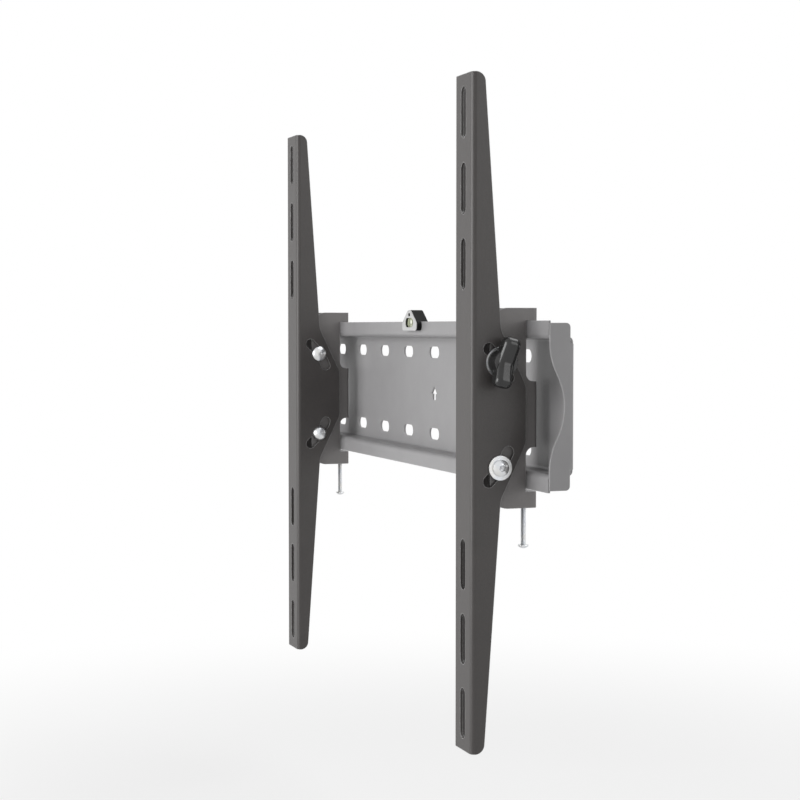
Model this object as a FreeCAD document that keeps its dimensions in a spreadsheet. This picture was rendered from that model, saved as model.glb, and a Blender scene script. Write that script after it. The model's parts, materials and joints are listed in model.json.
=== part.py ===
"""TV wall mount: a slotted wall plate with a bubble level, and two tilting arms hung on its strips.

Frame: +Z up, X along the plate, the wall is the plane Y = 0 and the room lies towards -Y.
The origin is the centre of the plate on the wall.
"""
import FreeCAD, Part
import math
import os
import re

import Sketcher
from FreeCAD import Placement, Rotation, Vector

# Driving dimensions: alias, value (mm, degrees or a count), meaning
DIMENSIONS = [
    ("plate_length", 500.0, "wall plate, outside of one end flange to the other"),
    ("plate_height", 112.0, "free edge of the upper strip to free edge of the lower strip"),
    ("plate_depth", 18.0, "wall to the front of the strips"),
    ("plate_sheet", 1.5, "sheet of the wall plate"),
    ("plate_bend", 2.0, "inside radius of the plate's bends"),
    ("strip_height", 12.0, "free edge of a strip to the recess side of its flange"),
    ("end_gap", 1.0, "end of a strip to the end flange"),
    ("end_drop", 1.5, "end flange stops short of the strip's free edge"),
    ("end_corner", 3.0, "rear corner radius of the end flange"),
    ("fold_relief", 1.0, "fold of the end flange stops short of the panel's bends"),
    ("wave_depth", 10.6, "cut-back of the end flange at mid height"),
    ("wave_margin", 2.0, "cut-back starts this far inside the flanges"),
    ("slot_count", 9, "wall slots in a row"),
    ("slot_inset", 18.0, "end of the plate to the middle of the outer slots"),
    ("slot_length", 21.0, "wall slot, end to end"),
    ("slot_width", 9.0, "wall slot, side to side"),
    ("row_spacing", 64.0, "upper row to lower row"),
    ("arrow_height", 11.0, "up arrow cut through the panel"),
    ("arrow_width", 12.0, "arrow head, side to side"),
    ("arrow_head", 6.0, "arrow head, point to base"),
    ("arrow_stem", 6.5, "arrow stem, side to side"),
    ("level_width", 32.0, "bubble level along the strip"),
    ("level_height", 16.0, "bubble level, foot to top"),
    ("level_rise", 9.0, "bubble level above the strip's free edge"),
    ("level_depth", 10.0, "bubble level, front to back"),
    ("level_leg", 4.4, "front of the level to the front of the strip"),
    ("level_shoulder", 6.0, "straight side of the level above its foot"),
    ("level_crown", 6.0, "flat at the level's top before rounding"),
    ("level_crown_round", 7.0, "corner radius at the level's top"),
    ("level_round", 3.4, "corner radius at the level's foot and shoulders"),
    ("level_clip", 1.6, "thickness of the level's rear leg"),
    ("level_clip_drop", 4.0, "rear leg below the strip's free edge"),
    ("level_face_sheet", 0.5, "thickness of the level's face plate"),
    ("clip_gap", 0.1, "level to strip"),
    ("window_length", 17.0, "level window, end to end"),
    ("window_height", 7.0, "level window, top to bottom"),
    ("window_rise", 6.2, "window centre above the level's foot"),
    ("vial_bed", 3.0, "vial sunk into the housing"),
    ("vial_recess", 1.8, "vial behind the front of the face plate"),
    ("vial_gap", 0.1, "vial to its window"),
    ("eye_length", 4.0, "slot near the level's top"),
    ("eye_height", 2.5, "slot near the level's top, top to bottom"),
    ("eye_drop", 3.6, "slot centre below the level's top"),
    ("arm_inset", 50.0, "end of the plate to the middle of an arm"),
    ("rail_length", 450.0, "rail, end to end"),
    ("rail_width", 31.0, "rail, outside of web to outside of web"),
    ("rail_sheet", 2.0, "sheet of the rail"),
    ("rail_bend", 1.5, "inside radius of the rail's bends"),
    ("rail_tip_depth", 9.0, "depth of the web at the ends"),
    ("rail_tip_round", 6.5, "corner radius of the web at the ends"),
    ("rail_shoulder_depth", 20.7, "depth of the web where the crown begins"),
    ("rail_shoulder_cover", 21.7, "crown's foot past the bolts"),
    ("rail_shoulder_round", 15.0, "hollow radius at the crown's foot"),
    ("rail_crown_cover", 7.6, "crown past the circle of the curved slots"),
    ("rail_crown_half", 18.9, "half height of the crown at its top"),
    ("rail_crown_round", 12.0, "corner radius of the crown"),
    ("screen_slot_width", 8.6, "slot for a screen's screw, side to side"),
    ("screen_slot_length", 34.0, "slot for a screen's screw, end to end"),
    ("screen_slot_inset", 25.0, "end of the rail to the middle of the outer slot"),
    ("screen_slot_pitch", 50.0, "slot to slot along the rail"),
    ("screen_slot_count", 3, "slots above and below mid height"),
    ("tilt_centre", 28.0, "tilt axis in front of the rail's screen side"),
    ("tilt_radius", 59.4, "tilt axis to the middle of the curved slots"),
    ("tilt_angle", 36.0, "bolts above and below the tilt axis, degrees"),
    ("tilt_range", 10.0, "tilt each way, degrees"),
    ("tilt_spare", 1.5, "curved slot past the tilt range, degrees"),
    ("tilt_slot_width", 8.0, "curved slot, side to side"),
    ("bracket_sheet", 2.0, "sheet of the hook bracket"),
    ("bracket_bend", 1.0, "inside radius of the bracket's bends"),
    ("bracket_gap", 0.5, "bracket to each web of the rail"),
    ("bracket_margin", 6.0, "middle of the bolts to the bracket's open edge"),
    ("bracket_corner", 13.0, "corner radius of the bracket's open edge"),
    ("notch_gap", 0.2, "strip to the back of the bracket's notches"),
    ("notch_depth", 40.0, "rail's screen side to the back of the notches"),
    ("notch_round", 5.4, "corner radius of the notches"),
    ("hook_reach", 8.6, "back of the notches to the bracket's wall side"),
    ("hook_rise", 62.8, "tilt axis to the top of the hook's pocket"),
    ("hook_seat_gap", 0.3, "strip to the top of the hook's pocket"),
    ("pocket_width", 2.4, "hook's pocket at its top"),
    ("lip_drop", 8.1, "hook's lip below the top of the pocket"),
    ("lip_width", 4.2, "hook's lip, front to back"),
    ("lip_cover", 8.2, "bracket above the top of the pocket"),
    ("upper_notch", 32.7, "opening of the upper notch"),
    ("lower_notch", 29.6, "opening of the lower notch"),
    ("shelf_gap", 2.0, "lower strip to the shelf under it"),
    ("shelf_side_gap", 0.4, "shelf to the bracket's side walls"),
    ("foot_height", 11.0, "shelf to the bracket's lower end"),
    ("bolt_radius", 3.0, "clamp bolt and tilt screw"),
    ("screw_point", 0.6, "chamfer at the tip of a bolt or screw"),
    ("bolt_gap", 0.1, "bolt to its holes and washers"),
    ("thread_gap", 0.02, "bolt to its nut or insert"),
    ("clamp_gap", 0.1, "head, nut or washer to the rail"),
    ("dome_radius", 6.2, "domed head and cap nut"),
    ("dome_height", 3.6, "domed head"),
    ("dome_rim", 0.8, "straight rim of the domed head and cap nut"),
    ("cap_height", 5.6, "cap nut"),
    ("cap_bore", 3.8, "blind bore of the cap nut"),
    ("tip_gap", 0.4, "screw tip to the end of its bore"),
    ("washer_radius", 10.2, "washer under the knob"),
    ("washer_sheet", 1.2, "thickness of the washers"),
    ("screw_washer_radius", 8.2, "washer under the tilt screw"),
    ("pan_radius", 5.6, "head of the tilt screw"),
    ("pan_height", 3.6, "head of the tilt screw"),
    ("pan_rim", 1.2, "straight rim of the tilt screw's head"),
    ("socket_flats", 4.0, "hexagon socket of the tilt screw, flat to flat"),
    ("socket_depth", 2.0, "hexagon socket of the tilt screw"),
    ("boss_radius", 9.4, "round base of the knob"),
    ("boss_height", 9.5, "round base of the knob"),
    ("boss_taper", 1.2, "base narrows towards its top"),
    ("wing_span", 17.0, "knob's axis to the tip of a wing"),
    ("wing_thickness", 11.6, "wing, side to side"),
    ("wing_root", 7.0, "knob's axis to the root of a wing"),
    ("wing_foot", 1.2, "root of the wings above the washer"),
    ("wing_low", 4.0, "lower edge of a wing's tip above the washer"),
    ("wing_high", 17.0, "upper edge of a wing's tip above the washer"),
    ("wing_valley", 11.5, "hollow between the wings above the washer"),
    ("wing_round", 4.8, "corner radius of a wing's tip"),
    ("wing_edge", 3.8, "edge radius of the wings"),
    ("knob_angle", 14.0, "knob's wings off the vertical, degrees"),
    ("insert_radius", 4.6, "threaded insert of the knob"),
    ("insert_length", 7.5, "threaded insert of the knob"),
    ("lock_radius", 1.9, "lock screw"),
    ("lock_length", 38.0, "lock screw under its head"),
    ("lock_gap", 0.4, "lower strip to the lock screw"),
    ("lock_thread_gap", 0.05, "lock screw to its hole"),
    ("lock_show", 1.0, "lock screw's tip above the shelf"),
    ("lock_head_radius", 3.6, "head of the lock screw"),
    ("lock_head_height", 2.6, "head of the lock screw"),
    ("lock_head_rim", 1.0, "straight rim of the lock screw's head"),
    ("cross_length", 3.8, "cross recess, end to end"),
    ("cross_width", 1.0, "cross recess, side to side"),
    ("cross_depth", 1.4, "cross recess"),
    ("cut_spare", 1.0, "a cut runs on past the face that it opens"),
]

X_AXIS = Vector(1, 0, 0)
Y_AXIS = Vector(0, 1, 0)
Z_AXIS = Vector(0, 0, 1)
# Spots that are closer than this count as one
NEAR = 0.02

# Places worked out from the driving dimensions
STRIP_TOP = "(plate_height / 2)"
FLANGE_Z = "(plate_height / 2 - strip_height)"
PLATE_OUTER_BEND = "(plate_bend + plate_sheet)"
NOTCH_Y = "(0 - plate_depth - notch_gap)"
SCREEN_Y = "(0 - plate_depth - notch_gap - notch_depth)"
BASE_Y = "(hook_reach - plate_depth - notch_gap)"
AXIS_Y = f"({SCREEN_Y} - tilt_centre)"
POCKET_Z = "(plate_height / 2 + hook_seat_gap)"
AXIS_Z = f"({POCKET_Z} - hook_rise)"
SHELF_Z = "(0 - plate_height / 2 - shelf_gap)"
BRACKET_WIDTH = "(rail_width - 2 * rail_sheet - 2 * bracket_gap)"
BOLT_Y = f"({AXIS_Y} + tilt_radius * cos(tilt_angle * 1 deg))"
BOLT_RISE = "(tilt_radius * sin(tilt_angle * 1 deg))"
LOCK_Y = "(plate_sheet + lock_gap + lock_radius - plate_depth)"

doc = FreeCAD.newDocument("tv_wall_mount")
sheet = doc.addObject("Spreadsheet::Sheet", "dims")
for row, (alias, number, meaning) in enumerate(DIMENSIONS, 1):
    sheet.set(f"A{row}", meaning)
    sheet.set(f"B{row}", str(number))
    sheet.setAlias(f"B{row}", alias)
doc.recompute()

sub_parts = []


def value(expression):
    """Number that an expression on the sheet's aliases gives."""
    return float(sheet.evalExpression(expression))


def bind(item, target, expression):
    """Bind a property to the sheet: every word with an underscore is one of its aliases."""
    item.setExpression(target, re.sub(r"\b([a-z]+(?:_[a-z]+)+)\b", r"dims.\1", expression))


def new_body(label):
    """Empty body of one sub-part."""
    body = doc.addObject("PartDesign::Body", label)
    body.Label = label
    sub_parts.append(body)
    return body


def origin(body, role):
    """Origin plane or axis of a body."""
    return next(item for item in body.Origin.OriginFeatures if item.Role == role)


def new_sketch(body, plane, offset=None):
    """Empty sketch on an origin plane of its body, or moved off it along the plane's normal."""
    sketch = body.newObject("Sketcher::SketchObject", f"{body.Label}_sketch")
    sketch.AttachmentSupport = [(origin(body, plane), "")]
    sketch.MapMode = "FlatFace"
    if offset:
        bind(sketch, "AttachmentOffset.Base.z", offset)
    return sketch


def pin_point(sketch, geometry, point, spot):
    """Fix a point of a sketch at a place given by two expressions."""
    for kind, expression, axis in zip(("DistanceX", "DistanceY"), spot, (-2, -1)):
        number = value(expression)
        if number == 0:
            sketch.addConstraint(Sketcher.Constraint("PointOnObject", geometry, point, axis))
        else:
            index = sketch.addConstraint(Sketcher.Constraint(kind, geometry, point, number))
            bind(sketch, f"Constraints[{index}]", expression)


def add_outline(sketch, corners, arcs=None):
    """Closed outline through corners; arcs gives the centre of each edge that is an arc."""
    arcs = arcs or {}
    spots = [Vector(value(x), value(y), 0) for x, y in corners]
    first = sketch.GeometryCount
    count = len(spots)
    ends = []
    for edge in range(count):
        start = spots[edge]
        stop = spots[(edge + 1) % count]
        if edge not in arcs:
            sketch.addGeometry(Part.LineSegment(start, stop), False)
            ends.append((1, 2))
            continue
        centre = Vector(value(arcs[edge][0]), value(arcs[edge][1]), 0)
        turns_left = (start - centre).cross(stop - centre).z > -NEAR
        begin, finish = (start, stop) if turns_left else (stop, start)
        angles = [math.atan2(spot.y - centre.y, spot.x - centre.x) for spot in (begin, finish)]
        circle = Part.Circle(centre, Z_AXIS, (start - centre).Length)
        sketch.addGeometry(Part.ArcOfCircle(circle, *angles), False)
        ends.append((1, 2) if turns_left else (2, 1))
    for edge in range(count):
        following = (edge + 1) % count
        sketch.addConstraint(Sketcher.Constraint(
            "Coincident", first + edge, ends[edge][1], first + following, ends[following][0]))
    for edge, corner in enumerate(corners):
        pin_point(sketch, first + edge, ends[edge][0], corner)
    for edge, centre in arcs.items():
        chord = spots[(edge + 1) % count] - spots[edge]
        upright = abs(chord.y) > abs(chord.x)
        kind = "DistanceX" if upright else "DistanceY"
        expression = centre[0] if upright else centre[1]
        index = sketch.addConstraint(Sketcher.Constraint(kind, first + edge, 3, value(expression)))
        bind(sketch, f"Constraints[{index}]", expression)


def add_rectangle(sketch, left, bottom, right, top):
    """Rectangle between two corners."""
    add_outline(sketch, [(left, bottom), (right, bottom), (right, top), (left, top)])


def add_circle(sketch, centre, radius):
    """Circle about a centre."""
    spot = Vector(value(centre[0]), value(centre[1]), 0)
    geometry = sketch.addGeometry(Part.Circle(spot, Z_AXIS, value(radius)), False)
    pin_point(sketch, geometry, 3, centre)
    index = sketch.addConstraint(Sketcher.Constraint("Radius", geometry, value(radius)))
    bind(sketch, f"Constraints[{index}]", radius)


def add_obround(sketch, x, y, length, width, upright=False):
    """Slot with round ends, along the sketch's first axis or upright."""
    reach = f"({length} / 2 - {width} / 2)"
    half = f"({width} / 2)"
    if upright:
        corners = [(f"{x} + {half}", f"{y} - {reach}"), (f"{x} + {half}", f"{y} + {reach}"),
                   (f"{x} - {half}", f"{y} + {reach}"), (f"{x} - {half}", f"{y} - {reach}")]
        arcs = {1: (x, f"{y} + {reach}"), 3: (x, f"{y} - {reach}")}
    else:
        corners = [(f"{x} - {reach}", f"{y} - {half}"), (f"{x} + {reach}", f"{y} - {half}"),
                   (f"{x} + {reach}", f"{y} + {half}"), (f"{x} - {reach}", f"{y} + {half}")]
        arcs = {1: (f"{x} + {reach}", y), 3: (f"{x} - {reach}", y)}
    add_outline(sketch, corners, arcs)


def pad(body, sketch, length, midplane=False, reverse=False):
    """Solid grown from a sketch."""
    feature = body.newObject("PartDesign::Pad", f"{body.Label}_pad")
    feature.Profile = sketch
    bind(feature, "Length", length)
    feature.Midplane = midplane
    feature.Reversed = reverse
    doc.recompute()
    return feature


def pocket(body, sketch, depth=None, reverse=False):
    """Cut from a sketch: to a depth, or right through both ways."""
    before = body.Shape.Volume
    feature = body.newObject("PartDesign::Pocket", f"{body.Label}_pocket")
    feature.Profile = sketch
    feature.Reversed = reverse
    if depth:
        bind(feature, "Length", depth)
    else:
        feature.Type = "ThroughAll"
        feature.Midplane = True
    doc.recompute()
    if body.Shape.Volume > before - NEAR:
        raise RuntimeError(f"a pocket of {body.Label} cuts nothing")
    return feature


def revolve(body, sketch):
    """Solid turned about the sketch's first axis."""
    feature = body.newObject("PartDesign::Revolution", f"{body.Label}_turned")
    feature.Profile = sketch
    feature.ReferenceAxis = (sketch, ["H_Axis"])
    feature.Angle = 360
    doc.recompute()
    return feature


def straight_edges(shape, direction, spots):
    """Names of the straight edges that run in a direction through the given spots."""
    names = []
    for number, edge in enumerate(shape.Edges, 1):
        along = edge.tangentAt(edge.FirstParameter)
        if not isinstance(edge.Curve, Part.Line) or along.cross(direction).Length > NEAR:
            continue
        middle = edge.CenterOfMass
        foot = middle - direction * middle.dot(direction)
        if any((foot - spot).Length < NEAR for spot in spots):
            names.append(f"Edge{number}")
    return names


def fillet(body, radius, names):
    """Round the named edges of a body's last feature."""
    base = body.Tip
    if not names:
        raise RuntimeError(f"{body.Label} has no edge to round by {radius}")
    feature = body.newObject("PartDesign::Fillet", f"{body.Label}_fillet")
    feature.Base = (base, names)
    bind(feature, "Radius", radius)
    doc.recompute()
    return feature


def round_edges(body, radius, direction, places):
    """Round the straight edges that run in a direction through places given by expressions."""
    spots = [Vector(*[value(number) for number in corner]) for corner in places]
    fillet(body, radius, straight_edges(body.Tip.Shape, direction, spots))


def place(body, x, y, z, turn=None):
    """Set where a sub-part sits: a fixed turn, and a place bound to the sheet."""
    body.Placement = Placement(Vector(), turn or Rotation())
    for target, expression in zip("xyz", (x, y, z)):
        bind(body, f"Placement.Base.{target}", expression)


def make_wall_plate():
    """Folded sheet: slotted panel, two flanges with hooked strips, two end flanges."""
    body = new_body("wall_plate")
    front = "(0 - plate_depth)"
    strip_back = "(plate_sheet - plate_depth)"
    strip_end = "(plate_length / 2 - plate_sheet - end_gap)"
    fold_x = f"(plate_length / 2 - {PLATE_OUTER_BEND})"
    fold_half = f"({FLANGE_Z} - plate_bend - fold_relief)"

    section = new_sketch(body, "YZ_Plane")
    add_outline(section, [
        (front, STRIP_TOP), (front, FLANGE_Z),
        ("0 - plate_sheet", FLANGE_Z), ("0 - plate_sheet", f"0 - {FLANGE_Z}"),
        (front, f"0 - {FLANGE_Z}"), (front, f"0 - {STRIP_TOP}"),
        (strip_back, f"0 - {STRIP_TOP}"), (strip_back, f"0 - {FLANGE_Z} - plate_sheet"),
        ("0", f"0 - {FLANGE_Z} - plate_sheet"), ("0", f"{FLANGE_Z} + plate_sheet"),
        (strip_back, f"{FLANGE_Z} + plate_sheet"), (strip_back, STRIP_TOP)])
    pad(body, section, f"2 * {strip_end}", midplane=True)
    round_edges(body, PLATE_OUTER_BEND, X_AXIS, [
        ("0", y, f"{sign} * {z}") for sign in (1, -1)
        for y, z in ((front, FLANGE_Z), ("0", f"({FLANGE_Z} + plate_sheet)"))])
    round_edges(body, "plate_bend", X_AXIS, [
        ("0", y, f"{sign} * {z}") for sign in (1, -1)
        for y, z in (("0 - plate_sheet", FLANGE_Z), (strip_back, f"({FLANGE_Z} + plate_sheet)"))])

    relief = new_sketch(body, "XY_Plane")
    add_rectangle(relief, fold_x, f"0 - {PLATE_OUTER_BEND}", "plate_length / 2", "cut_spare")
    add_rectangle(relief, "0 - plate_length / 2", f"0 - {PLATE_OUTER_BEND}", f"0 - {fold_x}", "cut_spare")
    pocket(body, relief)

    fold = new_sketch(body, "XY_Plane")
    bend_centre = (fold_x, f"0 - {PLATE_OUTER_BEND}")
    add_outline(fold, [
        (fold_x, "0 - plate_sheet"), (fold_x, "0"), ("plate_length / 2", bend_centre[1]),
        ("plate_length / 2 - plate_sheet", bend_centre[1])],
        {1: bend_centre, 3: bend_centre})
    fold_pad = pad(body, fold, f"2 * {fold_half}", midplane=True)

    wave_half = f"({FLANGE_Z} - wave_margin)"
    wave_radius = f"((wave_depth * wave_depth + {wave_half} * {wave_half}) / (4 * wave_depth))"
    wave_y = "(wave_depth / 2 - plate_depth)"
    flange_top = f"({STRIP_TOP} - end_drop)"
    end = new_sketch(body, "YZ_Plane", "plate_length / 2")
    add_outline(end, [
        (front, flange_top), (front, wave_half), (wave_y, f"{wave_half} / 2"),
        (wave_y, f"0 - {wave_half} / 2"), (front, f"0 - {wave_half}"), (front, f"0 - {flange_top}"),
        (bend_centre[1], f"0 - {flange_top}"), (bend_centre[1], flange_top)],
        {1: (f"{wave_radius} - plate_depth", wave_half),
         2: (f"wave_depth - plate_depth - {wave_radius}", "0"),
         3: (f"{wave_radius} - plate_depth", f"0 - {wave_half}")})
    end_pad = pad(body, end, "plate_sheet", reverse=True)

    mirrored = body.newObject("PartDesign::Mirrored", "wall_plate_far_end")
    mirrored.Originals = [fold_pad, end_pad]
    mirrored.MirrorPlane = (origin(body, "YZ_Plane"), [""])
    body.Tip = mirrored
    doc.recompute()
    round_edges(body, "end_corner", X_AXIS, [
        ("0", bend_centre[1], f"{sign} * {flange_top}") for sign in (1, -1)])

    slots = new_sketch(body, "XZ_Plane")
    for sign in (1, -1):
        add_obround(slots, "(slot_inset - plate_length / 2)", f"({sign} * row_spacing / 2)",
                    "slot_length", "slot_width")
    first_pair = pocket(body, slots)
    rows = body.newObject("PartDesign::LinearPattern", "wall_plate_slots")
    rows.Originals = [first_pair]
    rows.Direction = (origin(body, "X_Axis"), [""])
    bind(rows, "Length", "plate_length - 2 * slot_inset")
    bind(rows, "Occurrences", "slot_count")
    body.Tip = rows
    doc.recompute()

    arrow = new_sketch(body, "XZ_Plane")
    neck = "(arrow_height / 2 - arrow_head)"
    add_outline(arrow, [
        ("0", "arrow_height / 2"), ("0 - arrow_width / 2", neck), ("0 - arrow_stem / 2", neck),
        ("0 - arrow_stem / 2", "0 - arrow_height / 2"), ("arrow_stem / 2", "0 - arrow_height / 2"),
        ("arrow_stem / 2", neck), ("arrow_width / 2", neck)])
    pocket(body, arrow)


LEVEL_FOOT = f"({STRIP_TOP} + level_rise - level_height)"
LEVEL_TOP = f"({STRIP_TOP} + level_rise)"
LEVEL_FRONT = "(plate_depth + level_leg)"
WINDOW_Z = f"({LEVEL_FOOT} + window_rise)"


def pad_level_outline(body, front, depth):
    """Rounded triangle of the level, grown towards the wall from its front."""
    sketch = new_sketch(body, "XZ_Plane", front)
    shoulder = f"({LEVEL_FOOT} + level_shoulder)"
    corners = [
        ("0 - level_width / 2", LEVEL_FOOT), ("level_width / 2", LEVEL_FOOT), ("level_width / 2", shoulder),
        ("level_crown / 2", LEVEL_TOP), ("0 - level_crown / 2", LEVEL_TOP), ("0 - level_width / 2", shoulder)]
    add_outline(sketch, corners)
    pad(body, sketch, depth, reverse=True)
    for pair, radius in (((0, 1), "level_round"), ((2, 5), "level_round"), ((3, 4), "level_crown_round")):
        round_edges(body, radius, Y_AXIS, [(corners[i][0], "0", corners[i][1]) for i in pair])


def make_level():
    """Clip-on bubble level: housing over the upper strip, face plate and vial."""
    housing = new_body("level_housing")
    housing_front = f"({LEVEL_FRONT} - level_face_sheet)"
    pad_level_outline(housing, housing_front, "level_depth - level_face_sheet")
    clip = new_sketch(housing, "YZ_Plane")
    slot_front = "(0 - plate_depth - clip_gap)"
    slot_back = "(plate_sheet - plate_depth + clip_gap)"
    clip_back = f"({slot_back} + level_clip)"
    clip_foot = f"({STRIP_TOP} - level_clip_drop)"
    below = f"({LEVEL_FOOT} - cut_spare)"
    behind = f"(level_depth - {LEVEL_FRONT} + cut_spare)"
    add_outline(clip, [
        (slot_front, below), (slot_front, STRIP_TOP), (slot_back, STRIP_TOP), (slot_back, clip_foot),
        (clip_back, clip_foot), (clip_back, STRIP_TOP), (behind, STRIP_TOP), (behind, below)])
    pocket(housing, clip)
    bed = new_sketch(housing, "XZ_Plane", housing_front)
    add_obround(bed, "0", WINDOW_Z, "(window_length + 2 * vial_gap)", "(window_height + 2 * vial_gap)")
    pocket(housing, bed, "vial_bed")

    face = new_body("level_face")
    pad_level_outline(face, LEVEL_FRONT, "level_face_sheet")
    holes = new_sketch(face, "XZ_Plane")
    add_obround(holes, "0", WINDOW_Z, "(window_length + 2 * vial_gap)", "(window_height + 2 * vial_gap)")
    add_obround(holes, "0", f"({LEVEL_TOP} - eye_drop)", "eye_length", "eye_height")
    pocket(face, holes)

    vial = new_body("level_vial")
    capsule = new_sketch(vial, "XZ_Plane", f"{LEVEL_FRONT} - vial_recess")
    add_obround(capsule, "0", WINDOW_Z, "window_length", "window_height")
    pad(vial, capsule, "level_face_sheet + vial_bed - vial_recess", reverse=True)


def make_rail(label, x):
    """Folded channel behind the screen, with curved tilt slots in both webs."""
    body = new_body(label)
    half = "(rail_length / 2)"

    def spot(depth, height):
        return f"({SCREEN_Y} + {depth})", f"({AXIS_Z} + {height})"

    web = new_sketch(body, "YZ_Plane")
    crown = "(tilt_radius - tilt_centre + rail_crown_cover)"
    profile = [("rail_tip_depth", half), ("rail_shoulder_depth", f"({BOLT_RISE} + rail_shoulder_cover)"),
               (crown, "rail_crown_half")]
    far_side = [spot(depth, height) for depth, height in profile]
    far_side += [spot(depth, f"(0 - {height})") for depth, height in reversed(profile)]
    add_outline(web, [spot("0", f"(0 - {half})")] + [spot("0", half)] + far_side)
    pad(body, web, "rail_width", midplane=True)
    channel = new_sketch(body, "XY_Plane")
    inner = "(rail_width / 2 - rail_sheet)"
    floor = f"({SCREEN_Y} + rail_sheet)"
    add_rectangle(channel, f"0 - {inner}", floor, inner, f"{SCREEN_Y} + {crown} + cut_spare")
    pocket(body, channel)
    radii = ("rail_tip_round", "rail_shoulder_round", "rail_crown_round")
    for number, radius in enumerate(radii):
        round_edges(body, radius, X_AXIS, [("0",) + far_side[number], ("0",) + far_side[-1 - number]])
    round_edges(body, "(rail_bend + rail_sheet)", Z_AXIS, [
        (f"{sign} * rail_width / 2", SCREEN_Y, "0") for sign in (1, -1)])
    round_edges(body, "rail_bend", Z_AXIS, [
        (f"{sign} * {inner}", floor, "0") for sign in (1, -1)])

    curved = new_sketch(body, "YZ_Plane")
    reach = "(tilt_range + tilt_spare)"

    def polar(radius, angle):
        return (f"({AXIS_Y} + {radius} * cos({angle} * 1 deg))",
                f"({AXIS_Z} + {radius} * sin({angle} * 1 deg))")

    for sign in (1, -1):
        low = f"({sign} * tilt_angle - {reach})"
        high = f"({sign} * tilt_angle + {reach})"
        outer = "(tilt_radius + tilt_slot_width / 2)"
        inner_arc = "(tilt_radius - tilt_slot_width / 2)"
        add_outline(curved, [
            polar(outer, low), polar(outer, high), polar(inner_arc, high), polar(inner_arc, low)],
            {0: (AXIS_Y, AXIS_Z), 1: polar("tilt_radius", high),
             2: (AXIS_Y, AXIS_Z), 3: polar("tilt_radius", low)})
    pocket(body, curved)

    screws = new_sketch(body, "XZ_Plane")
    for number in range(int(value("screen_slot_count"))):
        for sign in (1, -1):
            height = f"({AXIS_Z} + {sign} * ({half} - screen_slot_inset - {number} * screen_slot_pitch))"
            add_obround(screws, "0", height, "screen_slot_length", "screen_slot_width", upright=True)
    pocket(body, screws)
    place(body, x, "0", "0")


def make_hook_bracket(label, x):
    """Folded channel inside the rail: a hook over the upper strip and a shelf under the lower one."""
    body = new_body(label)
    heel = f"({BOLT_Y} - bracket_margin)"
    top = f"({POCKET_Z} + lip_cover)"
    lip = f"({POCKET_Z} - lip_drop)"
    middle_top = f"({lip} - upper_notch)"
    middle_foot = f"({SHELF_Z} + lower_notch)"
    foot = f"({SHELF_Z} - foot_height)"

    side = new_sketch(body, "YZ_Plane")
    add_outline(side, [
        (heel, top), (heel, foot), (BASE_Y, foot), (BASE_Y, SHELF_Z), (NOTCH_Y, SHELF_Z),
        (NOTCH_Y, middle_foot), (BASE_Y, middle_foot), (BASE_Y, middle_top), (NOTCH_Y, middle_top),
        (NOTCH_Y, POCKET_Z), (f"{NOTCH_Y} + pocket_width", POCKET_Z), (f"{BASE_Y} - lip_width", lip),
        (BASE_Y, lip), (BASE_Y, top)])
    pad(body, side, BRACKET_WIDTH, midplane=True)
    channel = new_sketch(body, "XY_Plane")
    inner = f"({BRACKET_WIDTH} / 2 - bracket_sheet)"
    base_inside = f"({BASE_Y} - bracket_sheet)"
    add_rectangle(channel, f"0 - {inner}", f"{heel} - cut_spare", inner, base_inside)
    pocket(body, channel)
    round_edges(body, "bracket_corner", X_AXIS, [("0", heel, top), ("0", heel, foot)])
    round_edges(body, "notch_round", X_AXIS, [
        ("0", NOTCH_Y, middle_top), ("0", NOTCH_Y, middle_foot)])
    round_edges(body, "(bracket_bend + bracket_sheet)", Z_AXIS, [
        (f"{sign} * {BRACKET_WIDTH} / 2", BASE_Y, "0") for sign in (1, -1)])
    round_edges(body, "bracket_bend", Z_AXIS, [
        (f"{sign} * {inner}", base_inside, "0") for sign in (1, -1)])

    shelf = new_sketch(body, "XY_Plane", SHELF_Z)
    shelf_half = f"({inner} - shelf_side_gap)"
    add_rectangle(shelf, f"0 - {shelf_half}", NOTCH_Y, shelf_half, base_inside)
    pad(body, shelf, "bracket_sheet", reverse=True)
    lock = new_sketch(body, "XY_Plane")
    add_circle(lock, ("0", LOCK_Y), "(lock_radius + lock_thread_gap)")
    pocket(body, lock)
    bolts = new_sketch(body, "YZ_Plane")
    for sign in (1, -1):
        add_circle(bolts, (BOLT_Y, f"({AXIS_Z} + {sign} * {BOLT_RISE})"), "(bolt_radius + bolt_gap)")
    pocket(body, bolts)
    place(body, x, "0", "0")


def dome_centre(rim, height, radius):
    """Centre, on the axis, of the round top of a head that bulges towards -X."""
    rise = f"({height} - {rim})"
    return f"(({radius} * {radius} + {rise} * {rise}) / (2 * {rise}) - {height})", "0"


def turned_body(label, corners, arcs=None):
    """Sub-part turned about its own X axis from half a section."""
    body = new_body(label)
    sketch = new_sketch(body, "XY_Plane")
    add_outline(sketch, corners, arcs)
    revolve(body, sketch)
    return body


def make_washer(label, radius):
    """Flat washer whose rear face is at its own origin."""
    bore = "(bolt_radius + bolt_gap)"
    return turned_body(label, [("0", bore), ("washer_sheet", bore), ("washer_sheet", radius), ("0", radius)])


def make_screw(label, head, length, radius):
    """Screw along +X whose head, of a radius, height and rim, lies behind the origin."""
    head_radius, height, rim = head
    return turned_body(label, [
        (f"0 - {height}", "0"), (length, "0"), (length, f"{radius} - screw_point"),
        (f"{length} - screw_point", radius), ("0", radius), ("0", head_radius), (f"0 - {rim}", head_radius)],
        {6: dome_centre(rim, height, head_radius)})


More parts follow.
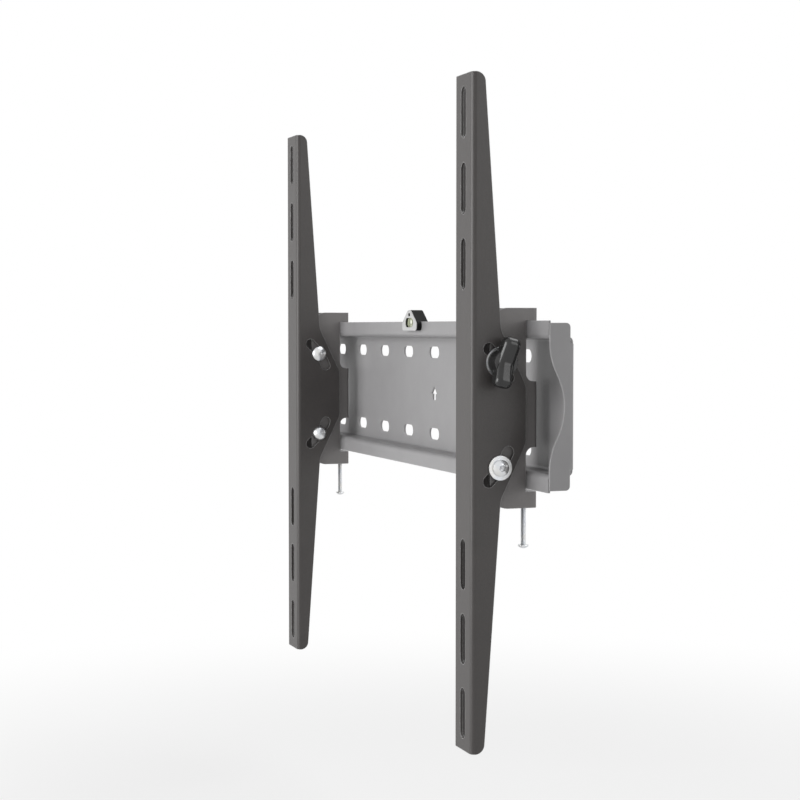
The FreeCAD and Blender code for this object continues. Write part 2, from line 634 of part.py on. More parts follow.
def make_cap_nut(label):
    """Domed nut that closes over the end of the tilt screw."""
    bore = "(bolt_radius + thread_gap)"
    return turned_body(label, [
        ("0", bore), ("0", "dome_radius"), ("0 - dome_rim", "dome_radius"), ("0 - cap_height", "0"),
        ("0 - cap_bore", "0"), ("0 - cap_bore", bore)],
        {2: dome_centre("dome_rim", "cap_height", "dome_radius")})


def cut_hexagon_socket(body):
    """Hexagon socket in the tilt screw's head."""
    sketch = new_sketch(body, "YZ_Plane", "0 - pan_height")
    radius = "(socket_flats / sqrt(3))"
    add_outline(sketch, [
        (f"{radius} * cos({angle} * 1 deg)", f"{radius} * sin({angle} * 1 deg)")
        for angle in range(15, 375, 60)])
    pocket(body, sketch, "socket_depth", reverse=True)


def cut_cross_recess(body):
    """Cross recess in the lock screw's head."""
    sketch = new_sketch(body, "YZ_Plane", "0 - lock_head_height")
    far = "cross_length / 2"
    near = "cross_width / 2"
    quarter = [(far, f"0 - {near}"), (far, near), (near, near)]
    corners = []
    for turn in range(4):
        corners += quarter
        quarter = [(f"0 - ({y})", x) for x, y in quarter]
    add_outline(sketch, corners)
    pocket(body, sketch, "cross_depth", reverse=True)


def make_knob(label):
    """Two-winged knob on a round base, with a blind bore for its threaded insert."""
    body = new_body(label)
    wings = new_sketch(body, "XZ_Plane")
    corners = [
        ("wing_foot", "0 - wing_root"), ("wing_foot", "wing_root"), ("wing_low", "wing_span"),
        ("wing_high", "wing_span"), ("wing_valley", "0"), ("wing_high", "0 - wing_span"),
        ("wing_low", "0 - wing_span")]
    add_outline(wings, corners)
    pad(body, wings, "wing_thickness", midplane=True)
    round_edges(body, "wing_round", Y_AXIS, [(x, "0", z) for x, z in corners])
    side = value("wing_thickness / 2")
    rims = [f"Edge{number}" for number, edge in enumerate(body.Tip.Shape.Edges, 1)
            if edge.BoundBox.YLength < NEAR and abs(abs(edge.CenterOfMass.y) - side) < NEAR]
    fillet(body, "wing_edge", rims)
    boss = new_sketch(body, "XY_Plane")
    add_outline(boss, [
        ("0", "0"), ("boss_height", "0"), ("boss_height", "boss_radius - boss_taper"), ("0", "boss_radius")])
    revolve(body, boss)
    bore = new_sketch(body, "YZ_Plane")
    add_circle(bore, ("0", "0"), "insert_radius")
    pocket(body, bore, "insert_length", reverse=True)
    return body


def make_knob_insert(label):
    """Threaded bush of the knob."""
    bore = "(bolt_radius + thread_gap)"
    return turned_body(label, [
        ("0", bore), ("insert_length", bore), ("insert_length", "insert_radius"), ("0", "insert_radius")])


def make_arm(side, sign):
    """One arm: rail, hook bracket, clamp with knob, tilt screw and lock screw; knob on the outer side."""
    x = f"({sign} * (plate_length / 2 - arm_inset))"
    make_rail(f"{side}_rail", x)
    make_hook_bracket(f"{side}_hook_bracket", x)

    outwards = Rotation(Z_AXIS, 0 if sign > 0 else 180)
    inwards = Rotation(Z_AXIS, 180 if sign > 0 else 0)
    web_face = "(rail_width / 2 + clamp_gap)"
    upper = (BOLT_Y, f"({AXIS_Z} + {BOLT_RISE})")
    lower = (BOLT_Y, f"({AXIS_Z} - {BOLT_RISE})")
    inner_face = f"({x} - {sign} * {web_face})"
    outer_face = f"({x} + {sign} * {web_face})"
    washer_face = f"({x} + {sign} * ({web_face} + washer_sheet))"

    grip = f"(2 * {web_face} + washer_sheet)"
    dome = ("dome_radius", "dome_height", "dome_rim")
    bolt_length = f"({grip} + insert_length - tip_gap)"
    bolt = make_screw(f"{side}_clamp_bolt", dome, bolt_length, "bolt_radius")
    place(bolt, inner_face, *upper, outwards)
    place(make_washer(f"{side}_clamp_washer", "washer_radius"), outer_face, *upper, outwards)
    knob_turn = outwards.multiply(Rotation(X_AXIS, -sign * value("knob_angle")))
    place(make_knob(f"{side}_tilt_knob"), washer_face, *upper, knob_turn)
    place(make_knob_insert(f"{side}_knob_insert"), washer_face, *upper, outwards)

    pan = ("pan_radius", "pan_height", "pan_rim")
    screw_length = f"({grip} + cap_bore - tip_gap)"
    screw = make_screw(f"{side}_tilt_screw", pan, screw_length, "bolt_radius")
    cut_hexagon_socket(screw)
    place(screw, washer_face, *lower, inwards)
    place(make_washer(f"{side}_tilt_washer", "screw_washer_radius"), outer_face, *lower, outwards)
    place(make_cap_nut(f"{side}_cap_nut"), inner_face, *lower, outwards)

    small_pan = ("lock_head_radius", "lock_head_height", "lock_head_rim")
    lock = make_screw(f"{side}_lock_screw", small_pan, "lock_length", "lock_radius")
    cut_cross_recess(lock)
    place(lock, x, LOCK_Y, f"({SHELF_Z} + lock_show - lock_length)", Rotation(Y_AXIS, -90))


def write_parts():
    """Check every object, then write each sub-part to its own file."""
    doc.recompute()
    for item in doc.Objects:
        if "Invalid" in item.State or "Error" in item.State:
            raise RuntimeError(f"{item.Label} failed: {item.State}")
    for body in sub_parts:
        if body.Shape.isNull() or not body.Shape.isValid() or len(body.Shape.Solids) != 1:
            raise RuntimeError(f"{body.Label} is not one valid solid")
    os.makedirs("parts", exist_ok=True)
    for body in sub_parts:
        body.Shape.exportStep(os.path.join("parts", f"{body.Label}.step"))


make_wall_plate()
make_level()
make_arm("right", 1)
make_arm("left", -1)
write_parts()
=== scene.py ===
"""Looks of the TV wall mount: finishes of its coated, plated and moulded pieces, the threads and recesses
of its fasteners, and the bubble and marks of its level."""
import json
import math
from collections import namedtuple

import bmesh
import bpy
from mathutils import Matrix, Vector


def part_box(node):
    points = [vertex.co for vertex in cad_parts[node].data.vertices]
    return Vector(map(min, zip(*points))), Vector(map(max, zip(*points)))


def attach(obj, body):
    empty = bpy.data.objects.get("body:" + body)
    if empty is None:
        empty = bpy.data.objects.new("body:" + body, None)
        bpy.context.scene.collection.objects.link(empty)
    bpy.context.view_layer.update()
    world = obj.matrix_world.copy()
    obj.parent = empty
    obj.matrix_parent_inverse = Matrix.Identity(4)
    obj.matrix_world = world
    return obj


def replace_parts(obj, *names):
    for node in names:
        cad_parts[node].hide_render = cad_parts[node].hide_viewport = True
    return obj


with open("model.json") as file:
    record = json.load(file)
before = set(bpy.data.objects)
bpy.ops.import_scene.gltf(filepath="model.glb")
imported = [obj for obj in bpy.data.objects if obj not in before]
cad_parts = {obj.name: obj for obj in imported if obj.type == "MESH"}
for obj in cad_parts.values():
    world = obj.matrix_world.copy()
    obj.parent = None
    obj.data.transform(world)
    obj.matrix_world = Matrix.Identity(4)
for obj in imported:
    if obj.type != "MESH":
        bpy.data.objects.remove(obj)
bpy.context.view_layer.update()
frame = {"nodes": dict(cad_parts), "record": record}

MM = 0.001
UP = Vector((0, 0, 1))


def middle_of(node):
    """Middle of a node's box."""
    low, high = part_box(node)
    return (low + high) / 2


# Axes of the right arm's fasteners: the left arm's are mirrored across X
CLAMP_BOLT_AXIS = middle_of("right_clamp_bolt")
TILT_SCREW_AXIS = middle_of("right_tilt_screw")
LOCK_SCREW_AXIS = middle_of("right_lock_screw")


class Field:
    """A value over a surface. Its operators add Math nodes to the node tree that it belongs to."""

    def __init__(self, nodes, socket):
        self.nodes = nodes
        self.socket = socket

    def output(self, name):
        """Another output of the node that this value comes from."""
        return Field(self.nodes, self.socket.node.outputs[name])

    def math(self, operation, *values):
        return self.nodes.add("ShaderNodeMath", {"operation": operation}, dict(enumerate(values)))

    def __add__(self, other):
        return self.math("ADD", self, other)

    __radd__ = __add__

    def __sub__(self, other):
        return self.math("SUBTRACT", self, other)

    def __rsub__(self, other):
        return self.math("SUBTRACT", other, self)

    def __mul__(self, other):
        return self.math("MULTIPLY", self, other)

    __rmul__ = __mul__

    def __abs__(self):
        return self.math("ABSOLUTE", self)

    def sine(self):
        return self.math("SINE", self)

    def root(self):
        return self.math("SQRT", self)

    def most(self, other):
        return self.math("MAXIMUM", self, other)

    def step(self, low, high):
        """Smooth rise from 0 at low to 1 at high."""
        return self.nodes.add("ShaderNodeMapRange", {"interpolation_type": "SMOOTHSTEP"},
                              {"Value": self, "From Min": low, "From Max": high})


class Nodes:
    """Node tree of a finish or the world."""

    def __init__(self, owner):
        owner.use_nodes = True
        self.tree = owner.node_tree
        self.tree.nodes.clear()

    def add(self, kind, settings=None, inputs=None, output=0):
        """Add a node: its settings first, then the values or links of its sockets. It gives one output."""
        node = self.tree.nodes.new(kind)
        for name, setting in (settings or {}).items():
            setattr(node, name, setting)
        for name, given in (inputs or {}).items():
            if isinstance(given, Field):
                self.tree.links.new(given.socket, node.inputs[name])
            else:
                node.inputs[name].default_value = given
        return Field(self, node.outputs[output]) if node.outputs else None

    def seen_directly(self):
        """1 for what the camera sees, straight or in gloss and glass."""
        rays = self.add("ShaderNodeLightPath")
        mirrored = rays.output("Is Glossy Ray").most(rays.output("Is Transmission Ray"))
        return rays.output("Is Camera Ray").most(mirrored)


class Finish(Nodes):
    """One procedural material with the fields that its surface is made of."""

    def __init__(self, name):
        self.material = bpy.data.materials.new(name)
        super().__init__(self.material)
        self.place = self.add("ShaderNodeTexCoord", output="Object")

    def noise(self, scale, detail=2.0, roughness=0.5):
        """Noise with a number of grains to the metre."""
        return self.add("ShaderNodeTexNoise", inputs={
            "Vector": self.place, "Scale": scale, "Detail": detail, "Roughness": roughness})

    def axes(self):
        """The three coordinates of a point, in metres."""
        split = self.add("ShaderNodeSeparateXYZ", inputs={0: self.place})
        return [split.output(axis) for axis in "XYZ"]

    def rounded(self, radius):
        """Normal as if the sharp edges had a small radius."""
        return self.add("ShaderNodeBevel", {"samples": 6}, {"Radius": radius})

    def edge(self, radius, low, high):
        """Mask that is 1 along sharp edges."""
        flat = self.add("ShaderNodeNewGeometry", output="Normal")
        turn = self.add("ShaderNodeVectorMath", {"operation": "DOT_PRODUCT"},
                        {0: self.rounded(radius), 1: flat}, output="Value")
        return (1 - turn).step(low, high)

    def nook(self, reach):
        """Mask from ambient occlusion that is 1 deep in the recesses of the piece itself, for painting shade
        there.
        """
        openness = self.add("ShaderNodeAmbientOcclusion", {"samples": 8, "only_local": True},
                            {"Distance": reach}, output="AO")
        return (1 - openness).step(0.2, 0.65)

    def blend(self, factor, first, second):
        """Colour between two colours."""
        return self.add("ShaderNodeMix", {"data_type": "RGBA"}, {0: factor, 6: first, 7: second}, output=2)

    def bump(self, relief, height, strength, normal=None):
        """Normal of a relief of a height, on top of another normal."""
        inputs = {"Height": relief, "Distance": height, "Strength": strength}
        if normal:
            inputs["Normal"] = normal
        return self.add("ShaderNodeBump", inputs=inputs)

    def surface(self, shader):
        """The material with this shader on its surface."""
        self.add("ShaderNodeOutputMaterial", inputs={"Surface": shader})
        return self.material

    def finish(self, **sockets):
        """The material from the shader's sockets, named with underscores for spaces."""
        inputs = {name.replace("_", " "): given for name, given in sockets.items()}
        return self.surface(self.add("ShaderNodeBsdfPrincipled", inputs=inputs))


def grey(level):
    """Grey colour of a level."""
    return (level, level, level, 1)


ZINC_COOL = (0.68, 0.7, 0.73, 1)
ZINC_WARM = (0.74, 0.735, 0.715, 1)
ZINC_DULL = (0.42, 0.43, 0.45, 1)
RECESS_PAINTED_SHADE = (0.14, 0.14, 0.15, 1)
BRASS_BRIGHT = (0.74, 0.55, 0.25, 1)
BRASS_TARNISHED = (0.5, 0.34, 0.15, 1)
FLUID_DEEP = (0.62, 0.66, 0.45, 1)
FLUID_PALE = (0.7, 0.73, 0.53, 1)
BUBBLE_MIDDLE = (0.84, 0.86, 0.72, 1)
BUBBLE_RIM_SHADE = (0.24, 0.28, 0.13, 1)


def powder_coat(name, dark, light, edge_wear_and_highlight, peel, gloss):
    """Baked powder coat on folded sheet: orange peel, cloudy shade, and cut edges lighter, partly for a
    thinner coat and partly as a painted highlight.
    """
    coat = Finish(name)
    cloud = coat.noise(45, detail=4, roughness=0.6)
    speck = coat.noise(2600, detail=1)
    skin = coat.noise(peel, roughness=0.45)
    edge_patchiness = coat.noise(260, detail=3, roughness=0.65).step(0.32, 0.72)
    rim = coat.edge(0.9 * MM, 0.015, 0.16)
    shade = coat.blend((cloud * 0.35 + speck * 0.65).step(0.25, 0.75), dark, light)
    # Cut edges lightened: partly a thinner, worn coat, partly a painted highlight where real edges catch the
    # light
    colour = coat.blend(rim * (0.5 + edge_patchiness * 0.4), shade, edge_wear_and_highlight)
    rough = gloss + (cloud - 0.5) * 0.08 + (speck - 0.5) * 0.12 - rim * 0.08
    normal = coat.bump(skin + speck * 0.3, 0.09 * MM, 0.6, coat.rounded(0.45 * MM))
    return coat.finish(Base_Color=colour, Roughness=rough, Normal=normal, IOR=1.5)


def bolt_rings(finish):
    """Distance from the nearest clamp bolt's or tilt screw's axis, which lie above each other."""
    _, y, z = finish.axes()
    halfway = (CLAMP_BOLT_AXIS.z + TILT_SCREW_AXIS.z) / 2
    across = y - CLAMP_BOLT_AXIS.y
    along = abs(z - halfway) - (CLAMP_BOLT_AXIS.z - halfway)
    return (across * across + along * along).root()


def lock_rings(finish):
    """Distance from the nearest lock screw's axis."""
    x, y, _ = finish.axes()
    across = abs(x) - LOCK_SCREW_AXIS.x
    along = y - LOCK_SCREW_AXIS.y
    return (across * across + along * along).root()


def turning_marks(distance, per_metre, wobble):
    """Fine marks around an axis, so many to the metre of distance from it, made uneven by a wobble."""
    return (distance * (math.tau * per_metre) + wobble).sine() * 0.5 + 0.5


def zinc_plate(name, rings, recess_shade_strength):
    """Bright zinc on turned steel: fine turning marks, faint tints, dull specks, and painted shade in
    recesses, where it is also rougher.
    """
    zinc = Finish(name)
    tint = zinc.noise(170, detail=3, roughness=0.6)
    speck = zinc.noise(1900)
    turning = turning_marks(rings(zinc), per_metre=3820, wobble=zinc.noise(700) * 6)
    rim = zinc.edge(0.3 * MM, 0.02, 0.25)
    # Painted shade: ambient occlusion darkens the colour in recesses and thread roots, as strongly as the
    # recess shade strength asks
    deep = zinc.nook(3 * MM) * recess_shade_strength
    bright = zinc.blend(tint.step(0.3, 0.7), ZINC_COOL, ZINC_WARM)
    specked = zinc.blend(speck.step(0.62, 0.8) * 0.5, bright, ZINC_DULL)
    colour = zinc.blend(deep, specked, RECESS_PAINTED_SHADE)
    rough = 0.2 + tint * 0.12 + speck * 0.08 - rim * 0.06 + deep * 0.2
    normal = zinc.bump(turning + speck * 0.6, 0.012 * MM, 0.35, zinc.rounded(0.2 * MM))
    return zinc.finish(Base_Color=colour, Roughness=rough, Metallic=1.0, Normal=normal)


def moulded(name, dark, light, rubbed, gloss, grain, relief, shine=0.5):
    """Moulded plastic: fine spark texture, slow shade changes, edges polished by handling."""
    plastic = Finish(name)
    cloud = plastic.noise(120, detail=3, roughness=0.55)
    skin = plastic.noise(grain, roughness=0.55)
    rim = plastic.edge(0.5 * MM, 0.03, 0.3)
    shade = plastic.blend((cloud * 0.7 + skin * 0.3).step(0.35, 0.65), dark, light)
    colour = plastic.blend(rim * 0.5, shade, rubbed)
    rough = gloss + (skin - 0.5) * 0.16 + (cloud - 0.5) * 0.1 - rim * 0.06
    normal = plastic.bump(skin, relief, 0.6, plastic.rounded(0.35 * MM))
    return plastic.finish(Base_Color=colour, Roughness=rough, Normal=normal, IOR=1.49,
                          Specular_IOR_Level=shine)


def turned_brass(name):
    """Brass insert: turning marks and a slow tarnish."""
    brass = Finish(name)
    tarnish = brass.noise(320, detail=3, roughness=0.6)
    turning = turning_marks(bolt_rings(brass), per_metre=2865, wobble=tarnish * 4)
    colour = brass.blend(tarnish.step(0.4, 0.7), BRASS_BRIGHT, BRASS_TARNISHED)
    normal = brass.bump(turning, 0.01 * MM, 0.5)
    return brass.finish(Base_Color=colour, Roughness=0.24 + tarnish * 0.2, Metallic=1.0, Normal=normal)


def vial_fluid(name):
    """Clear acrylic vial with pale yellow-green fluid."""
    vial = Finish(name)
    haze = vial.noise(500)
    colour = vial.blend(haze.step(0.3, 0.7), FLUID_DEEP, FLUID_PALE)
    normal = vial.bump(vial.noise(240, detail=1), 0.01 * MM, 0.3)
    return vial.finish(Base_Color=colour, Roughness=0.04 + haze * 0.05, Normal=normal,
                       Transmission_Weight=0.35, IOR=1.47)


def ink(name):
    """Black ink of the vial's marks."""
    mark = Finish(name)
    wear = mark.noise(3000)
    colour = mark.blend(wear.step(0.55, 0.75), grey(0.012), grey(0.04))
    return mark.finish(Base_Color=colour, Roughness=0.4 + wear * 0.2)


def air_bubble(name, middle, half_width, half_height):
    """Bubble about a middle point: the fluid's pale meniscus, with painted shade at its oval rim for the dark
    outline of a clear bubble.
    """
    bubble = Finish(name)
    x, _, z = bubble.axes()
    across = (x - middle.x) * (1 / half_width)
    up = (z - middle.z) * (1 / half_height)
    # Painted shade: the colour darkens towards the bubble's outline
    rim = (across * across + up * up).root().step(0.62, 0.98)
    haze = bubble.noise(900)
    colour = bubble.blend(rim, BUBBLE_MIDDLE, BUBBLE_RIM_SHADE)
    return bubble.finish(Base_Color=colour, Roughness=0.05 + haze * 0.06)


PLATE_COAT = powder_coat(
    "plate_powder_coat", dark=(0.255, 0.251, 0.255, 1), light=(0.312, 0.307, 0.312, 1), edge_wear_and_highlight=grey(0.56),
    peel=900, gloss=0.38)
RAIL_COAT = powder_coat(
    "arm_powder_coat", dark=(0.041, 0.037, 0.0355, 1), light=(0.062, 0.056, 0.0535, 1), edge_wear_and_highlight=grey(0.55),
    peel=1300, gloss=0.42)
# The hook brackets share the arms' coat; this lighter copy of it is painted light, for the extra light that
# falls on the brackets
BRACKET_PAINTED_LIGHT_COAT = powder_coat(
    "bracket_coat_painted_lighter", dark=(0.16, 0.152, 0.15, 1), light=(0.205, 0.195, 0.192, 1), edge_wear_and_highlight=grey(0.6),
    peel=1300, gloss=0.36)
BOLT_ZINC = zinc_plate("zinc_on_bolts", bolt_rings, recess_shade_strength=0.8)
LOCK_ZINC = zinc_plate("zinc_on_lock_screws", lock_rings, recess_shade_strength=0.1)
KNOB_NYLON = moulded(
    "knob_nylon", dark=grey(0.013), light=grey(0.021), rubbed=grey(0.06), gloss=0.2,
    grain=1500, relief=0.012 * MM)
LEVEL_BLACK = moulded(
    "level_body_plastic", dark=grey(0.009), light=grey(0.014), rubbed=grey(0.03), gloss=0.55,
    grain=2200, relief=0.03 * MM, shine=0.1)
LEVEL_GREY = moulded(
    "level_face_plastic", dark=grey(0.46), light=grey(0.53), rubbed=grey(0.6), gloss=0.45,
    grain=2200, relief=0.03 * MM)
MARK_INK = ink("vial_mark_ink")

SLOT_FINISHES = {
    "plate_coat": PLATE_COAT,
    "arm_coat": RAIL_COAT,
    "zinc": BOLT_ZINC,
    "knob_plastic": KNOB_NYLON,
    "insert_brass": turned_brass("insert_brass"),
    "level_black": LEVEL_BLACK,
    "level_grey": LEVEL_GREY,
    "vial_clear": vial_fluid("vial_fluid"),
}
for part in frame["record"]["subparts"]:
    mesh = frame["nodes"][part["node"]].data
    mesh.materials.clear()
    # Hook brackets take the lighter copy of the arm coat, which is painted light
    is_bracket = part["node"].endswith("hook_bracket")
    mesh.materials.append(BRACKET_PAINTED_LIGHT_COAT if is_bracket else SLOT_FINISHES[part["material_slot"]])


def new_piece(name, mesh, finish, body):
    """Add a piece with its finish, riding on a body."""
    piece = bpy.data.objects.new(name, mesh)
    bpy.context.scene.collection.objects.link(piece)
    mesh.materials.append(finish)
    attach(piece, body)
    return piece


def mesh_of(name, build):
    """Mesh that a building function fills."""
    shape = bmesh.new()
    build(shape)
    bmesh.ops.recalc_face_normals(shape, faces=shape.faces)
    mesh = bpy.data.meshes.new(name)
    shape.to_mesh(mesh)
    shape.free()
    return mesh


def add_skin(shape, rings):
    """Join rings of points into a closed skin with flat ends."""
    count = len(rings[0])
    rows = [[shape.verts.new(point) for point in ring] for ring in rings]
    for low, high in zip(rows, rows[1:]):
        for i in range(count):
            j = (i + 1) % count
            shape.faces.new((low[i], low[j], high[j], high[i]))
    shape.faces.new(tuple(reversed(rows[0])))
    shape.faces.new(rows[-1])


def carved(mesh, cutter_mesh):
    """Mesh with another mesh's volume cut out of it."""
    body = bpy.data.objects.new("carved_body", mesh)
    cutter = bpy.data.objects.new("carving_punch", cutter_mesh)
    for item in (body, cutter):
        bpy.context.scene.collection.objects.link(item)
    cut = body.modifiers.new("cut", "BOOLEAN")
    cut.operation = "DIFFERENCE"
    cut.solver = "EXACT"
    cut.object = cutter
    bpy.context.view_layer.update()
    result = bpy.data.meshes.new_from_object(body.evaluated_get(bpy.context.evaluated_depsgraph_get()))
    for item in (body, cutter):
        bpy.data.objects.remove(item)
    return result


def smooth(mesh, degrees):
    """Shade smooth, but keep edges sharper than an angle."""
    mesh.shade_smooth()
    mesh.set_sharp_from_angle(angle=math.radians(degrees))


# Domed heads stand on their seat at Z = 0, crown down, and shanks rise from it
Head = namedtuple("Head", "radius rim height")
Shank = namedtuple("Shank", "radius length pitch")
LOCK_HEAD = Head(radius=3.6 * MM, rim=1.0 * MM, height=2.6 * MM)
LOCK_SHANK = Shank(radius=1.9 * MM, length=38 * MM, pitch=0.7 * MM)
CLAMP_HEAD = Head(radius=6.2 * MM, rim=0.8 * MM, height=3.6 * MM)
CLAMP_SHANK = Shank(radius=3.0 * MM, length=39.5 * MM, pitch=1.0 * MM)
TILT_HEAD = Head(radius=5.6 * MM, rim=1.2 * MM, height=3.6 * MM)
TILT_SHANK = Shank(radius=3.0 * MM, length=35.8 * MM, pitch=1.0 * MM)
CAP_HEAD = Head(radius=6.2 * MM, rim=0.8 * MM, height=5.6 * MM)
CAP_BORE_RADIUS = 3.02 * MM
CAP_BORE_DEPTH = 3.8 * MM
RING_POINTS = 36


def circle(radius, z, count=RING_POINTS, start=0.0):
    """Ring of points about Z, from a starting angle in degrees."""
    turns = [math.radians(start + 360 * i / count) for i in range(count)]
    return [(radius * math.cos(turn), radius * math.sin(turn), z) for turn in turns]


def head_rings(head):
    """Rings of a domed head from its crown to its seat, with the rim eased."""
    steps = 14
    ease = 0.15 * MM
    rise = head.height - head.rim
    ball = (head.radius ** 2 + rise ** 2) / (2 * rise)
    rings = []
    for i in range(1, steps + 1):
        radius = head.radius * i / (steps + 1)
        rings.append(circle(radius, ball - head.height - math.sqrt(ball ** 2 - radius ** 2)))
    return rings + [circle(head.radius, -head.rim), circle(head.radius, -ease), circle(head.radius - ease, 0)]


def thread_share(phase):
    """Share of the thread's depth at a phase of its turn: flat root, straight flanks, narrow crest."""
    flat = 0.12
    rise = 1 - abs(2 * phase - 1)
    return min(1.0, max(0.0, (rise - flat) / (1 - 2 * flat)))


def thread_rings(shank):
    """Rings of a threaded shank from the seat up to its pointed tip."""
    rows_per_turn = 8
    depth = 0.61 * shank.pitch
    point = 0.6 * MM
    rows = round(shank.length / shank.pitch * rows_per_turn)
    rings = []
    for row in range(rows + 1):
        z = shank.length * row / rows
        limit = shank.radius - max(0.0, point - (shank.length - z))
        ring = []
        for i, (x, y, _) in enumerate(circle(1.0, z)):
            phase = (z / shank.pitch - i / RING_POINTS) % 1.0
            radius = min(limit, shank.radius - depth * (1 - thread_share(phase)))
            ring.append((x * radius, y * radius, z))
        rings.append(ring)
    return rings


def bore_rings(radius, depth):
    """Rings of a blind bore from the seat into a head."""
    return [circle(radius, 0), circle(radius, -depth)]


def cross_punch_rings(head):
    """Rings of a cross-shaped punch that sinks into a head, narrower towards its end."""
    half_length = 1.9 * MM
    half_width = 0.5 * MM
    depth = 1.5 * MM
    rings = []
    for z, share in ((-head.height - depth, 1.15), (-head.height + depth, 0.72)):
        far, near = half_length * share, half_width * share
        quarter = [(far, -near), (far, near), (near, near)]
        ring = []
        for _ in range(4):
            ring += [(u, v, z) for u, v in quarter]
            quarter = [(-v, u) for u, v in quarter]
        rings.append(ring)
    return rings


def hexagon_punch_rings(head):
    """Rings of a hexagonal punch with a blunt end that sinks into a head."""
    corner = 4.0 * MM / math.sqrt(3)
    turn = 15
    steps = ((-1.0 * MM, corner), (1.7 * MM, corner), (2.0 * MM, corner / 2))
    return [circle(radius, depth - head.height, count=6, start=turn) for depth, radius in steps]


def laid_like(node, direction, reach):
    """Placement that turns Z into a direction and ends a piece of such a reach where a node ends."""
    low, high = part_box(node)
    half = abs(direction.dot(high - low)) / 2
    seat = (low + high) / 2 + direction * (half - reach)
    return Matrix.Translation(seat) @ UP.rotation_difference(direction).to_matrix().to_4x4()


def make_fastener(name, node, body, direction, rings, finish, punch=None):
    """Detailed fastener in place of a plain one: a skin of rings, cut by a punch of rings, laid like it."""
    mesh = mesh_of(name, lambda shape: add_skin(shape, rings))
    if punch:
        mesh = carved(mesh, mesh_of("punch", lambda shape: add_skin(shape, punch)))
        mesh.name = name
    reach = max(z for ring in rings for _, _, z in ring)
    mesh.transform(laid_like(node, direction, reach))
    smooth(mesh, degrees=32)
    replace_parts(new_piece(name, mesh, finish, body), node)


for side, outward in (("right", Vector((1, 0, 0))), ("left", Vector((-1, 0, 0)))):
    make_fastener(f"{side}_threaded_lock_screw", f"{side}_lock_screw", f"{side}_lock", UP,
                  head_rings(LOCK_HEAD) + thread_rings(LOCK_SHANK), LOCK_ZINC, cross_punch_rings(LOCK_HEAD))
    make_fastener(f"{side}_threaded_clamp_bolt", f"{side}_clamp_bolt", f"{side}_arm", outward,
                  head_rings(CLAMP_HEAD) + thread_rings(CLAMP_SHANK), BOLT_ZINC)
    make_fastener(f"{side}_threaded_tilt_screw", f"{side}_tilt_screw", f"{side}_arm", -outward,
                  head_rings(TILT_HEAD) + thread_rings(TILT_SHANK), BOLT_ZINC, hexagon_punch_rings(TILT_HEAD))
    make_fastener(f"{side}_domed_cap_nut", f"{side}_cap_nut", f"{side}_arm", outward,
                  head_rings(CAP_HEAD) + bore_rings(CAP_BORE_RADIUS, CAP_BORE_DEPTH), BOLT_ZINC)


# Level's vial, which lies along X and faces -Y
VIAL_LOW, VIAL_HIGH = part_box("level_vial")
VIAL_FRONT = VIAL_LOW.y
MARK_OFFSET = 3.0 * MM
MARK_HALF_WIDTH = 0.34 * MM
MARK_MARGIN = 0.25 * MM
MARK_SUNK = 0.05 * MM
MARK_PROUD = 0.16 * MM
MARK_ROUND = 0.06 * MM
MARK_EASE = 0.12 * MM
BUBBLE_RISE = 0.5 * MM
BUBBLE_SUNK = 0.06 * MM
BUBBLE_HALF_SIZE = Vector((2.5, 0.5, 2.0)) * MM


def mark_rings(middle, half_height):
    """Rings of an upright mark on the vial's front, from its sunk foot to its eased front."""
    rings = []
    for y, ease in ((VIAL_FRONT + MARK_SUNK, 0), (VIAL_FRONT - MARK_PROUD + MARK_ROUND, 0),
                    (VIAL_FRONT - MARK_PROUD, MARK_EASE)):
        wide = MARK_HALF_WIDTH - ease
        tall = half_height - ease
        corners = ((-wide, -tall), (wide, -tall), (wide, tall), (-wide, tall))
        rings.append([(middle.x + u, y, middle.z + v) for u, v in corners])
    return rings


def make_vial_marks():
    """Two marks across the vial."""
    middle = middle_of("level_vial")
    half_height = (VIAL_HIGH.z - VIAL_LOW.z) / 2 - MARK_MARGIN

    def add_marks(shape):
        for offset in (MARK_OFFSET, -MARK_OFFSET):
            add_skin(shape, mark_rings(middle + Vector((offset, 0, 0)), half_height))

    mesh = mesh_of("level_vial_marks", add_marks)
    smooth(mesh, degrees=30)
    new_piece("level_vial_marks", mesh, MARK_INK, "plate")


def make_vial_bubble():
    """Bubble between the vial's marks, near the top of the fluid."""
    middle = middle_of("level_vial")
    centre = Vector((middle.x, VIAL_FRONT + BUBBLE_SUNK, middle.z + BUBBLE_RISE))

    def add_ball(shape):
        bmesh.ops.create_uvsphere(shape, u_segments=32, v_segments=20, radius=1.0)
        lie = Matrix.Translation(centre) @ Matrix.Diagonal((*BUBBLE_HALF_SIZE, 1))
        bmesh.ops.transform(shape, matrix=lie, verts=shape.verts)

    mesh = mesh_of("level_vial_bubble", add_ball)
    smooth(mesh, degrees=60)
    air = air_bubble("vial_bubble_air", centre, BUBBLE_HALF_SIZE.x, BUBBLE_HALF_SIZE.z)
    new_piece("level_vial_bubble", mesh, air, "plate")


make_vial_marks()
make_vial_bubble()


WORLD_LIGHT = 0.3


def make_world():
    """White surroundings, dimmer as light on matt surfaces."""
    world = bpy.data.worlds.new("studio")
    bpy.context.scene.world = world
    nodes = Nodes(world)
    light = nodes.add("ShaderNodeBackground", inputs={"Color": grey(1), "Strength": WORLD_LIGHT})
    white = nodes.add("ShaderNodeBackground", inputs={"Color": grey(1), "Strength": 1.0})
    mixed = nodes.add("ShaderNodeMixShader", inputs={0: nodes.seen_directly(), 1: light, 2: white})
    nodes.add("ShaderNodeOutputWorld", inputs={"Surface": mixed})


FLOOR_Z = -0.34
FLOOR_HALF_SIZE = 4
FLOOR_GREY = grey(0.92)
FLOOR_WHITE_SHARE = 0.62
FADE_START = 0.25
FADE_END = 0.9


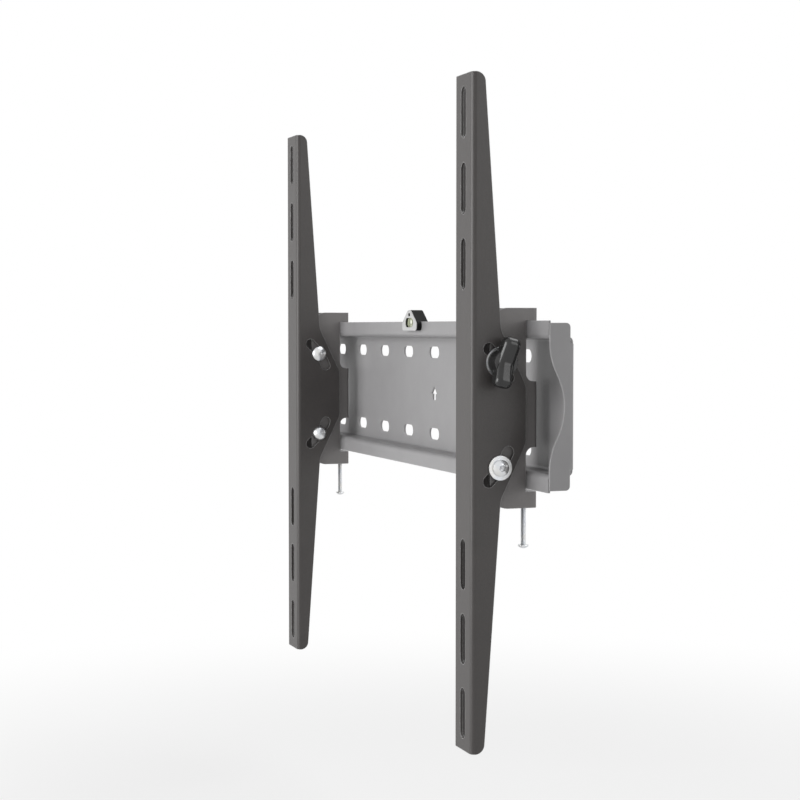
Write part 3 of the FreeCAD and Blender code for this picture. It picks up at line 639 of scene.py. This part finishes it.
def make_floor():
    """Pale floor under the mount, fading into the white surroundings."""
    mesh = mesh_of("floor", lambda shape: bmesh.ops.create_grid(
        shape, x_segments=1, y_segments=1, size=FLOOR_HALF_SIZE))
    floor = bpy.data.objects.new("floor", mesh)
    floor.location.z = FLOOR_Z
    bpy.context.scene.collection.objects.link(floor)
    paint = Finish("floor_paint")
    x, y, _ = paint.axes()
    away = (x * x + y * y).root().step(FADE_START, FADE_END)
    share = paint.seen_directly() * (FLOOR_WHITE_SHARE + away * (1 - FLOOR_WHITE_SHARE))
    matt = paint.add("ShaderNodeBsdfDiffuse", inputs={"Color": FLOOR_GREY})
    white = paint.add("ShaderNodeEmission", inputs={"Color": grey(1), "Strength": 1.0})
    mixed = paint.add("ShaderNodeMixShader", inputs={0: share, 1: matt, 2: white})
    mesh.materials.append(paint.surface(mixed))


def make_lamp(name, place, target, size, power):
    """Soft square lamp aimed at a spot."""
    lamp = bpy.data.lights.new(name, "AREA")
    lamp.shape = "SQUARE"
    lamp.size = size
    lamp.energy = power
    lamp_object = bpy.data.objects.new(name, lamp)
    lamp_object.location = place
    lamp_object.rotation_euler = (Vector(target) - Vector(place)).to_track_quat("-Z", "Y").to_euler()
    bpy.context.scene.collection.objects.link(lamp_object)


def make_camera(azimuth, elevation, distance, target, lens):
    """Camera that looks at a target from an azimuth about Z and an elevation."""
    camera = bpy.data.cameras.new("camera")
    camera.lens = lens
    camera.sensor_width = 36
    turn, rise = math.radians(azimuth), math.radians(elevation)
    back = Vector((math.sin(turn) * math.cos(rise), -math.cos(turn) * math.cos(rise), math.sin(rise)))
    camera_object = bpy.data.objects.new("camera", camera)
    camera_object.location = Vector(target) + back * distance
    camera_object.rotation_euler = (-back).to_track_quat("-Z", "Y").to_euler()
    bpy.context.scene.collection.objects.link(camera_object)
    bpy.context.scene.camera = camera_object


make_world()
make_floor()
make_lamp("key_lamp", place=(-0.1, -1.9, 0.2), target=(0, 0, 0), size=1.4, power=32)
make_lamp("side_lamp", place=(1.5, 1.0, 0.5), target=(0.1, 0, 0), size=1.0, power=6)
make_lamp("back_lamp", place=(0.1, 0.9, 1.9), target=(0, 0, 0), size=1.3, power=15)
make_camera(azimuth=70, elevation=2.4, distance=1.35, target=(0, -0.03, -0.005), lens=78)

bpy.context.scene.view_settings.view_transform = "Standard"
